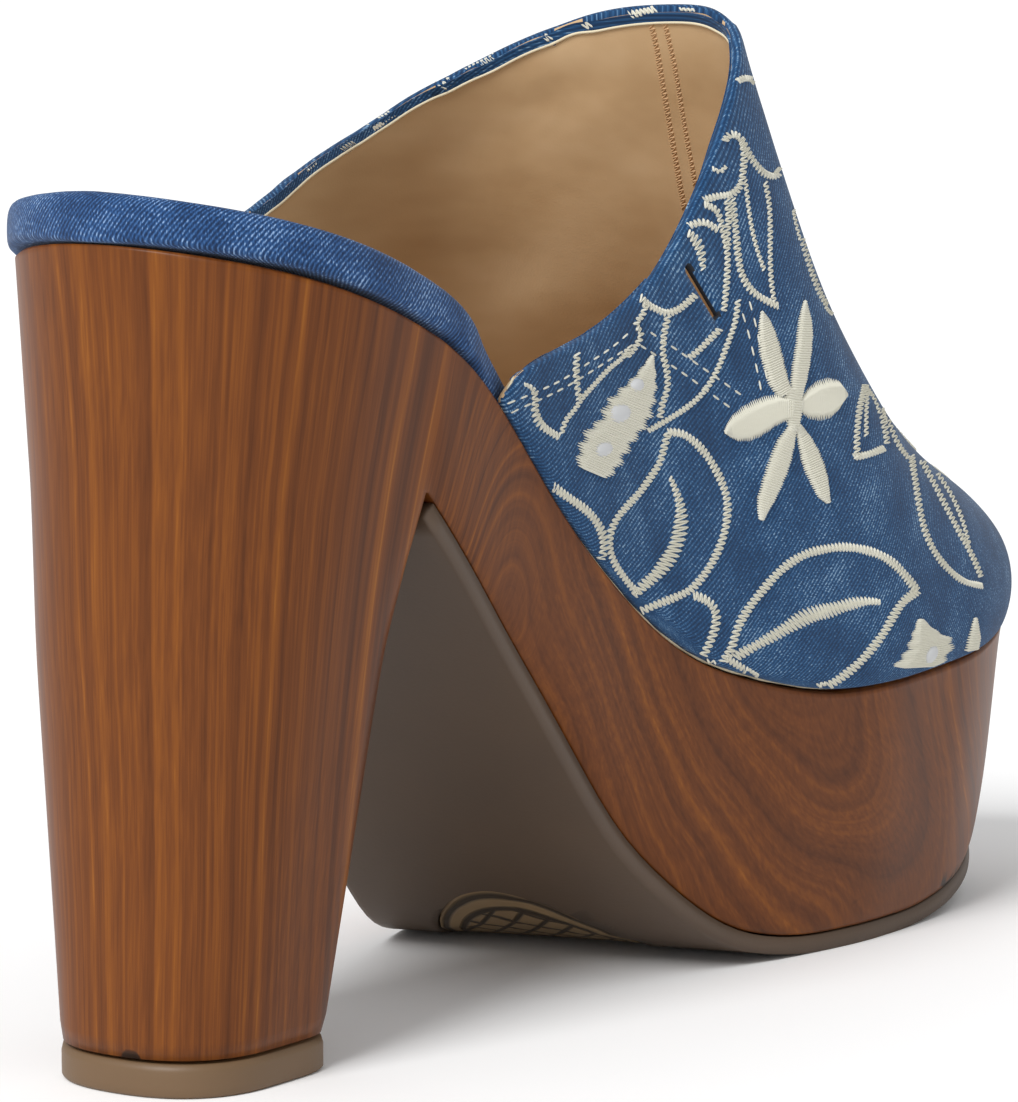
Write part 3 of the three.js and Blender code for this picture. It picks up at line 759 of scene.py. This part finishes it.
# The side that the photograph shows, drawn in its pixels: zigzag lines and their widths there
shownOutlines = [
    ([(668, 432), (680, 433), (692, 440), (704, 452), (714, 467), (722, 483), (727, 500), (727, 518),
      (724, 534), (718, 551), (710, 566), (700, 580), (690, 590), (676, 597), (658, 604), (641, 611)], 10),
    ([(668, 432), (664, 448), (659, 464), (650, 478), (640, 492), (628, 505), (616, 520), (610, 535),
      (610, 550), (616, 566), (626, 580), (637, 593)], 9),
    ([(670, 477), (676, 492), (680, 505), (681, 520), (679, 536), (674, 550), (666, 563), (655, 576),
      (643, 586), (634, 596)], [5, 8, 13, 17, 19, 19, 18, 16, 14, 10]),
    ([(553, 486), (562, 493), (575, 502), (588, 512), (597, 523), (603, 536), (604, 548), (600, 561)], 11),
    ([(693, 595), (704, 599), (712, 605), (716, 614), (715, 628), (710, 642), (703, 656)], 11),
    ([(723, 662), (731, 650), (735, 636), (741, 621), (751, 605), (763, 590), (776, 575), (790, 563),
      (806, 554), (825, 549), (845, 547), (865, 550), (882, 556), (895, 565), (906, 577), (917, 591)], 11),
    ([(917, 591), (903, 602), (894, 615), (885, 631), (874, 646), (861, 661), (846, 674), (831, 684),
      (814, 690)], 11),
    ([(735, 657), (755, 646), (775, 635), (792, 625), (810, 615), (830, 610), (850, 604), (866, 601),
      (880, 602)], [13, 12, 14, 18, 21, 18, 16, 12, 7]),
    ([(726, 658), (741, 667), (754, 676), (764, 683)], 9),
    ([(716, 664), (702, 661)], 7),
    ([(857, 458), (857, 432), (860, 406), (865, 385)], 8),
    ([(866, 384), (874, 395), (881, 412), (885, 430), (887, 444)], 8),
    ([(854, 457), (869, 454), (884, 448)], 9),
    ([(867, 392), (866, 412), (866, 436)], 5),
    ([(872, 384), (881, 402), (889, 424), (899, 446), (908, 458)], 6),
    ([(911, 456), (915, 480), (919, 505), (925, 531), (934, 551), (948, 569), (963, 581), (982, 586)], 8),
    ([(921, 460), (933, 482), (945, 505), (957, 528), (967, 546), (974, 560), (981, 577)], 7),
    ([(936, 472), (951, 495), (962, 520), (969, 545)], 5),
    ([(524, 384), (532, 388), (535, 399), (535, 412), (540, 424), (549, 431), (559, 437)],
      [4, 6, 9, 11, 11, 10, 9]),
    ([(561, 434), (566, 420), (575, 409), (582, 398), (592, 387), (602, 376), (612, 366), (621, 359),
      (628, 349)], 6),
    ([(577, 353), (576, 370), (577, 385), (579, 399)], 8),
    ([(640, 297), (648, 305), (656, 309), (666, 313), (677, 310), (690, 300), (700, 290)], 9),
    ([(646, 303), (643, 314), (636, 324), (641, 334), (636, 346), (627, 357)], 7),
    ([(668, 316), (664, 335), (663, 354), (667, 372), (667, 390), (662, 405), (660, 418)], 8),
    ([(738, 300), (735, 322), (727, 345), (718, 368), (708, 386), (697, 399), (683, 410), (667, 420),
      (648, 431)], 7),
    ([(720, 329), (709, 340), (699, 350), (689, 358)], 8),
    ([(736, 82), (745, 78), (754, 81), (760, 92), (765, 106)], 8),
    ([(724, 141), (731, 134), (739, 137), (744, 152), (743, 170), (740, 186), (732, 194), (718, 196),
      (704, 200)], 9),
    ([(742, 141), (748, 153), (756, 165), (765, 174), (775, 176), (782, 169), (788, 164)], 9),
    ([(745, 180), (748, 205), (752, 230), (757, 250), (764, 270)], 5),
    ([(765, 182), (769, 205), (770, 230), (770, 255), (771, 280), (774, 302)], 6),
    ([(778, 306), (765, 300), (751, 290), (742, 275), (738, 255), (736, 235), (734, 215), (732, 199)], 9),
    ([(727, 199), (729, 215), (727, 232), (728, 246)], 9),
    ([(704, 204), (716, 210), (722, 228), (727, 250), (727, 275), (725, 300), (723, 317)], 8),
    ([(688, 226), (703, 222), (718, 230)], 9),
    ([(688, 232), (698, 244), (702, 258), (703, 270)], [8, 13, 12, 6]),
    ([(793, 198), (797, 222), (802, 242), (808, 262), (814, 280), (821, 296), (830, 310), (838, 316)], 7),
    ([(712, 168), (720, 172), (726, 166)], 5),
]
# Solid shapes: their two edges there, and how far the fringe strays as a share of the width
shownSolids = [
    ([(789, 424), (776, 440), (768, 458), (761, 480), (756, 503), (758, 518)],
     [(797, 428), (795, 450), (790, 470), (783, 487), (776, 501), (764, 519)], 0.012),
    ([(795, 430), (798, 450), (802, 468), (810, 485), (818, 498), (824, 502)],
     [(801, 424), (812, 437), (820, 450), (827, 468), (830, 485), (830, 501)], 0.012),
    ([(801, 398), (808, 387), (817, 379), (828, 376), (839, 380), (845, 392)],
     [(800, 411), (806, 418), (816, 422), (828, 421), (838, 412), (845, 398)], 0.008),
    ([(789, 398), (790, 372), (794, 346), (798, 318), (803, 302)],
     [(803, 398), (809, 376), (813, 350), (813, 324), (805, 302)], 0.012),
    ([(777, 397), (769, 388), (763, 371), (758, 353), (757, 334), (760, 313)],
     [(792, 388), (786, 364), (782, 347), (776, 330), (769, 318), (762, 312)], 0.012),
    ([(792, 394), (774, 393), (757, 397), (742, 405), (730, 417), (724, 430)],
     [(791, 421), (777, 427), (766, 435), (752, 442), (738, 442), (725, 434)], 0.012),
    ([(784, 388), (782, 402), (784, 416), (788, 430)],
     [(803, 392), (804, 404), (803, 416), (799, 430)], 0.02),
    ([(650, 356), (631, 378), (617, 390), (604, 402), (597, 419), (584, 430), (577, 446), (575, 464)],
     [(652, 357), (657, 376), (657, 400), (650, 425), (638, 440), (629, 455), (621, 468), (610, 479)],
      0.05),
    ([(917, 620), (910, 636), (902, 652), (888, 668), (870, 678), (848, 687)],
     [(924, 621), (940, 632), (956, 641), (949, 658), (930, 674), (894, 686)], 0.04),
    ([(973, 619), (967, 638), (961, 658)],
     [(976, 619), (981, 638), (978, 654)], 0.02),
]
# Padded eyelets on the solid leaves: centre there and the two half sizes in mm
shownEyelets = [
    ((636, 385), 2.0, 1.2),
    ((619, 413), 3.4, 1.8),
    ((602, 449), 3.0, 1.4),
    ((930, 654), 2.4, 1.8),
]
# Rows of topstitching there
shownRows = [
    [(506, 404), (534, 393), (560, 381), (590, 362), (615, 345), (634, 328)],
    [(509, 413), (537, 401), (562, 389), (592, 371), (614, 357), (634, 344)],
    [(650, 332), (680, 352), (710, 373), (747, 399)],
    [(640, 345), (660, 358), (690, 378), (714, 396), (735, 411)],
    [(742, 312), (747, 328), (752, 348), (757, 370), (762, 396)],
    [(749, 300), (755, 322), (760, 346), (765, 370), (770, 392)],
]

# Generic motifs for the sides that the photograph doesn't show, in mm about their own middle.
leafOutlines = [
    ([(-13, 0), (-8, 5.5), (0, 7.5), (8, 5), (13, 0)], 1.9),
    ([(-13, 0), (-7, -5), (1, -6.5), (8, -4.5), (13, 0)], 1.8),
    ([(-12, 0), (-4, 0.8), (4, 0.5), (8, 0)], [2.0, 3.2, 3.0, 1.2]),
]
flowerSolids = [
    ([(math.cos(math.radians(a)) * 1.5, math.sin(math.radians(a)) * 1.5),
      (math.cos(math.radians(a + 4)) * 8, math.sin(math.radians(a + 4)) * 8),
      (math.cos(math.radians(a)) * 15, math.sin(math.radians(a)) * 15)], [1.6, 5.2, 6.4, 5.4, 0.8])
    for a in range(10, 370, 60)
]
scrollOutlines = [([(-14, -4), (-8, 3), (0, 5), (7, 2), (10, -4), (5, -8), (0, -5)], 1.6)]
# plane, middle in mm on it, turn in degrees, size, motif
hiddenMotifs = [
    ("outer", (92, 96), 118, 1.235, "leaf"), ("outer", (112, 74), 20, 1.3, "leaf"),
    ("outer", (120, 112), 0, 1.235, "flower"), ("outer", (148, 66), -15, 1.43, "leaf"),
    ("outer", (74, 112), 60, 1.04, "scroll"), ("outer", (146, 90), 60, 1.105, "scroll"),
    ("outer", (98, 128), 20, 1.105, "leaf"), ("outer", (60, 108), 140, 0.91, "leaf"),
    ("outer", (176, 60), 5, 1.04, "scroll"), ("outer", (88, 76), -40, 1.04, "scroll"),
    ("outer", (52, 120), 100, 0.715, "flower"), ("outer", (116, 140), -60, 1.04, "scroll"),
    ("above", (4, 150), 100, 1.17, "leaf"), ("above", (-8, 178), 15, 1.235, "flower"),
    ("above", (14, 196), -35, 1.105, "leaf"), ("above", (-24, 156), 70, 1.17, "leaf"),
    ("above", (-4, 132), 20, 1.04, "scroll"), ("above", (22, 166), 80, 1.04, "scroll"),
    ("above", (-30, 180), 120, 0.91, "scroll"), ("above", (0, 206), 90, 0.91, "scroll"),
]


def motifParts(cloth, plane, middle, turn, size, kind):
    cast = cloth.fromOuter if plane == "outer" else cloth.fromAbove
    cos, sin = math.cos(math.radians(turn)) * size, math.sin(math.radians(turn)) * size
    outlines = {"leaf": leafOutlines, "scroll": scrollOutlines}.get(kind, [])
    solids = flowerSolids if kind == "flower" else []
    parts = []
    for rows, width in outlines + solids:
        drawn = curvedLine(rows, 40)
        line = [cast(middle[0] + x * cos - y * sin, middle[1] + x * sin + y * cos) for x, y in drawn]
        line = [point for point in line if point is not None]
        if len(line) > 4:
            work = satin if (rows, width) in solids else zigzag
            parts += work(cloth, line, width, thread)
    return parts


def domeParts(cloth, centre, longHalf, shortHalf):
    # a low oval dome of padding that shows in an eyelet
    place, normal = cloth.nearest(cloth.fromPhoto(*centre))
    along = normal.cross(Vector((0, 0, 1))).normalized()
    across = normal.cross(along)
    points = [tuple(place + normal * 0.9 * mm)]
    faces = []
    turns = 14
    for ring, (grow, lift) in enumerate(((0.55, 0.75), (0.9, 0.45), (1.0, -0.1))):
        for k in range(turns):
            a = 2 * math.pi * k / turns
            offset = along * math.cos(a) * longHalf * grow + across * math.sin(a) * shortHalf * grow
            points.append(tuple(cloth.nearest(place + offset * mm)[0] + normal * lift * mm))
    for k in range(turns):
        n = (k + 1) % turns
        faces.append((0, 1 + k, 1 + n))
        faces.append((1 + k, 1 + turns + k, 1 + turns + n, 1 + n))
        faces.append((1 + turns + k, 1 + 2 * turns + k, 1 + 2 * turns + n, 1 + turns + n))
    faces.append(tuple(1 + 2 * turns + k for k in reversed(range(turns))))
    return np.array(points), faces


# The upper and the insole
def facesInward(face):
    # the lining side of the wall looks back at the middle of the foot
    middle = Vector((0.006, face.center.y - 0.004, topLine(face.center.y) + 0.012))
    return face.normal.dot((face.center - middle).normalized()) < -0.12


def facesOutward(face):
    return not facesInward(face)


slit = {"ends": ((688, 262), (720, 318)), "reach": 2.2}  # in the photograph's pixels; mm from its line


def upperKind(face, slitEnds):
    # 0 cloth, 1 lining, 2 the cut walls of the slit, coloured near black as painted shade in the gap
    run = slitEnds[1] - slitEnds[0]
    share = min(1.03, max(-0.03, (face.center - slitEnds[0]).dot(run) / run.length_squared))
    near = (face.center - (slitEnds[0] + run * share)).length < slit["reach"] * mm
    if facesInward(face) or abs(face.normal.x) < 0.45 and near:
        return 2 if near else 1
    return 0


# The main creases: a line in the photograph, half width and depth in mm; below 0 is a ridge
liningCreases = [
    ([(500, 124), (545, 102), (605, 68)], 3.2, 0.55), ([(505, 106), (560, 80), (612, 52)], 3.6, -0.35),
    ([(392, 178), (455, 152), (520, 130)], 4.5, 0.45), ([(560, 128), (615, 108), (648, 98)], 4.0, -0.3),
    ([(640, 92), (648, 150), (662, 206)], 3.2, 0.4), ([(686, 62), (697, 108), (704, 150)], 3.0, 0.4),
    ([(470, 300), (520, 275), (565, 264)], 4.5, 0.45), ([(420, 250), (480, 222), (560, 200)], 5.0, -0.35),
]
clothCreases = [
    ([(560, 420), (620, 450), (676, 470)], 5.0, 0.4), ([(700, 425), (730, 470), (750, 540)], 5.5, 0.4),
    ([(800, 520), (850, 505), (905, 500)], 6.0, -0.4), ([(748, 110), (766, 150), (788, 215)], 5.0, 0.4),
]


def pressCreases(piece, keep, creases):
    # soft troughs and ridges that fade over their half width and towards their ends
    cloth = Cloth([piece], keep)
    points = meshPoints(piece)
    normals = np.array([tuple(vertex.normal) for vertex in piece.data.vertices])
    facing = np.zeros(len(points), bool)
    for face in piece.data.polygons:
        if keep(face):
            facing[list(face.vertices)] = True
    for rows, half, depth in creases:
        path = evenPath([cloth.fromPhoto(u, v) for u, v in curvedLine(rows)], 1 * mm)
        away = np.linalg.norm(points[:, None] - path[None], axis=2)
        near = away.argmin(axis=1)
        fade = np.sin(np.pi * np.clip(near / (len(path) - 1), 0.08, 0.92))
        press = depth * mm * fade * np.exp(-(away.min(axis=1) / (half * mm)) ** 2)
        points -= normals * (press * facing)[:, None]
    piece.data.vertices.foreach_set("co", points.ravel())
    piece.data.update()


def ringFaces(count, sides):
    # a closed skin over rings of points, with its two ends
    faces = []
    for i in range(count - 1):
        for k in range(sides):
            n = (k + 1) % sides
            faces.append((i * sides + k, i * sides + n, (i + 1) * sides + n, (i + 1) * sides + k))
    faces.append(tuple(range(sides)))
    faces.append(tuple((count - 1) * sides + k for k in range(sides)))
    return faces


# A thin padded sock of the lining's leather lies on the insole, its edge 5.5 mm in from the rim
sock = {"edge": 5.5, "thick": 0.45, "heelMiddle": 11, "front": 190, "stations": 44, "across": 13}


def makeSock(rim):
    tree = Cloth([rim]).tree

    def topAt(x, y):
        return tree.ray_cast(Vector((x, y, 0.4)), Vector((0, 0, -1)))[0].z

    def sideAt(y, side):
        z = topAt(0, y) - 2.5 * mm  # the rim's side is met below its rounded top
        return tree.ray_cast(Vector((side * 0.3, y, z)), Vector((-side, 0, 0)))[0].x

    middle = sock["heelMiddle"] * mm
    back = (sideAt(middle, 1) - sideAt(middle, -1)) / 2 - sock["edge"] * mm
    turns = np.linspace(0.12, math.pi / 2, 10)
    ys = [middle - back * math.cos(a) for a in turns]
    ys += list(np.linspace(middle, sock["front"] * mm, sock["stations"])[1:])
    points = []
    shares = np.linspace(-1, 1, sock["across"])
    for y in ys:
        if y < middle:
            half = math.sqrt(max(0, back**2 - (middle - y) ** 2))
            centre = (sideAt(middle, 1) + sideAt(middle, -1)) / 2
        else:
            half = (sideAt(y, 1) - sideAt(y, -1)) / 2 - sock["edge"] * mm
            centre = (sideAt(y, 1) + sideAt(y, -1)) / 2
        rises = sock["thick"] * mm * (1 - shares**6)
        upper = [(centre + half * share, rise) for share, rise in zip(shares, rises)]
        lower = [(x, -0.1 * mm) for x, rise in reversed(upper)]
        points += [(x, y, topAt(x, y) + rise) for x, rise in upper + lower]
    return np.array(points), ringFaces(len(ys), 2 * len(shares))


def tube(path, radius, sides=8):
    # a round bead along a line of points, its ends closed
    path = np.asarray(path)
    ahead = np.gradient(path, axis=0)
    ahead = ahead / np.linalg.norm(ahead, axis=1)[:, None]
    points = []
    up = np.array([0.0, 0, 1])
    for spot, way in zip(path, ahead):
        side = np.cross(way, up)
        side = side / np.linalg.norm(side)
        top = np.cross(side, way)
        for k in range(sides):
            a = 2 * math.pi * k / sides
            points.append(spot + (side * math.cos(a) + top * math.sin(a)) * radius)
    return np.array(points), ringFaces(len(path), sides)


def materialEdge(piece):
    # the run of edges between cloth and lining that is longest and highest: the collar's inner edge
    mesh = piece.data
    owners = {}
    for face in mesh.polygons:
        for key in face.edge_keys:
            owners.setdefault(key, []).append(face.material_index)
    links = {}
    for (a, b), kinds in owners.items():
        if len(set(kinds)) == 2:
            links.setdefault(a, []).append(b)
            links.setdefault(b, []).append(a)
    best = []
    seen = set()
    for start in sorted(links, key=lambda i: len(links[i])):
        if start in seen:
            continue
        chain = [start]
        seen.add(start)
        while True:
            onward = [n for n in links[chain[-1]] if n not in seen]
            if not onward:
                break
            chain.append(onward[0])
            seen.add(onward[0])
        if sum(mesh.vertices[i].co.z for i in chain) > sum(mesh.vertices[i].co.z for i in best):
            best = chain
    return np.array([tuple(mesh.vertices[i].co) for i in best])


def foldParts(cloth, path, depth):
    # cloth turned over the edge: a thin strip down the inside, and the line where it stops
    strip, low = [], []
    for i, spot in enumerate(path):
        ahead = aheadAt(path, i).normalized()
        place, normal = cloth.nearest(Vector(spot))
        down = ahead.cross(normal).normalized()
        down = -down if down.z > 0 else down
        foot = cloth.nearest(place + down * depth)[0]
        sunk = normal * 0.1 * mm
        edge = Vector(spot) + normal * 0.25 * mm
        strip.append([edge, foot + normal * 0.3 * mm, foot - sunk, place - sunk])
        low.append(tuple(foot + normal * 0.12 * mm))
    points = np.array([tuple(corner) for row in strip for corner in row])
    return (points, ringFaces(len(path), 4)), np.array(low)


# The embroidery runs on over the far collar's fold: patches in the photograph's pixels and their widths
collarPatches = [
    ([(303, 169), (313, 161)], 11),
    ([(343, 151), (355, 143)], 11),
    ([(370, 128), (392, 114)], 10),
    ([(441, 88), (452, 80)], 10),
    ([(468, 72), (496, 57)], 10),
    ([(544, 39), (550, 36)], 10),
    ([(584, 27), (590, 24)], 8),
    ([(630, 15), (655, 9)], 9),
    ([(679, 7), (694, 8)], 8),
]
collar = {"turnedIn": 1.8, "bead": 0.3, "pitch": 0.7}  # in mm
# Two zigzag rows down the lining's seam, in the photograph's pixels, and their widths
seamRows = [
    ([(650, 20), (656, 45), (661, 75), (667, 110), (673, 145), (679, 180), (685, 212)], 7),
    ([(664, 20), (670, 45), (676, 75), (681, 105), (687, 140), (693, 172), (697, 198)], 6),
]


print("studio and camera")
makeStudio()
makeCamera()

print("materials")
wood = makeWood()
denim = makeDenim("washed blue denim", upperDenim)
wrapDenim = makeDenim("wrapped blue denim", edgeDenim)
lining = makeLining()
# name, colour, darker colour and its share, roughness, grain size and depth in mm
soleRubber = makePlain("moulded taupe rubber", "#6b5237", "#5b4832", 0.2, 0.5, 0.5, 0.04)
sheetRubber = makePlain("dark taupe sole sheet", "#524030", "#43352a", 0.3, 0.55, 0.7, 0.05)
threadCotton = makePlain("ecru embroidery cotton", "#d6d4c6", "#b9b5a3", 0.12, 0.85, 0.25, 0.04)
eyeletPad = makePlain("grey-white eyelet felt", "#c9cacb", "#a4a8b0", 0.2, 0.85, 0.3, 0.05)
liningEdge = makePlain("cream folded lining edge", "#e4d8ba", "#b9a578", 0.1, 0.6, 0.4, 0.03)
seamThread = makePlain("tan seam thread", "#cba67c", "#a17d56", 0.3, 0.7, 0.25, 0.04)
# the slit's cut walls: near-black painted shade in the gap
slitWallShade = makePlain("dark raw denim edge", "#17191f", "#3a3f4a", 0.3, 0.9, 0.3, 0.05)
padRubber = makePadRubber()

print("heel, platform and soles")
woodPiece = smoothCopy("platform_heel", "woodUnit", 38, 0.85, 2)
paint(woodPiece, [wood])
tipPiece = smoothCopy("heel_tip", "heelTip", 30, 0.75, 2)
paint(tipPiece, [soleRubber])
outsolePiece = smoothCopy("outsole", "outsoleSheet", 35, 0.8, 1)
paint(outsolePiece, [sheetRubber])
padPiece = smoothCopy("grip_pad", "gripPad", 35, 0.9, 1)
paint(padPiece, [padRubber])

print("insole and its wrap")
rimPiece = smoothCopy("insole", "wrappedInsole", 60, 0.2, 2)
addClothMap(rimPiece, bandCoordinates(meshPoints(rimPiece)))
paint(rimPiece, [wrapDenim])
joinPieces("sock", [makeSock(rimPiece)], lining)

print("upper")
upperPiece = smoothCopy("upper", "denimUpper", 50, 0.35, 2)
wholeCloth = Cloth([upperPiece])
points = meshPoints(upperPiece)
addClothMap(upperPiece, np.column_stack([wrapDistance(wholeCloth.tree, points), wayAlong(points[:, 1])]))
slitEnds = [wholeCloth.fromPhoto(*spot) for spot in slit["ends"]]
paint(upperPiece, [denim, lining, slitWallShade], lambda face: upperKind(face, slitEnds))
pressCreases(upperPiece, facesInward, liningCreases)
pressCreases(upperPiece, facesOutward, clothCreases)

print("embroidery")
outerCloth = Cloth([upperPiece], facesOutward)
innerCloth = Cloth([upperPiece], facesInward)
work = []
for rows, width in shownOutlines:
    work += shownZigzag(outerCloth, rows, width, thread)
for left, right, fringe in shownSolids:
    work += shownSatin(outerCloth, left, right, thread, fringe)
joinPieces("embroideryShown", work, threadCotton)
work = []
for motif in hiddenMotifs:
    work += motifParts(outerCloth, *motif)
joinPieces("embroideryBeyond", work, threadCotton)
work = []
for rows in shownRows:
    work += dashes(outerCloth, [outerCloth.fromPhoto(u, v) for u, v in curvedLine(rows)], thread)
joinPieces("topstitching", work, threadCotton)
joinPieces("eyeletPads", [domeParts(outerCloth, *row) for row in shownEyelets], eyeletPad)

print("collar and lining seam")
collarLine = evenPath(materialEdge(upperPiece), 0.5 * mm)
smoothLine(collarLine, 60)
fold, foldLine = foldParts(innerCloth, collarLine, collar["turnedIn"] * mm)
foldPiece = joinPieces("collarFold", [fold], denim)
points = meshPoints(foldPiece)
addClothMap(foldPiece, np.column_stack([points[:, 2], wayAlong(points[:, 1])]))
smoothLine(foldLine, 20)
joinPieces("liningFold", [tube(foldLine, collar["bead"] * mm)], liningEdge)
collarCloth = Cloth([upperPiece, foldPiece])
collarThread = {**thread, "pitch": collar["pitch"]}
work = []
for rows, width in collarPatches:
    work += shownZigzag(collarCloth, rows, width, collarThread)
joinPieces("embroideryOnFold", work, threadCotton)
work = []
for rows, width in seamRows:
    work += shownZigzag(innerCloth, rows, width, thread)
joinPieces("liningSeam", work, seamThread)
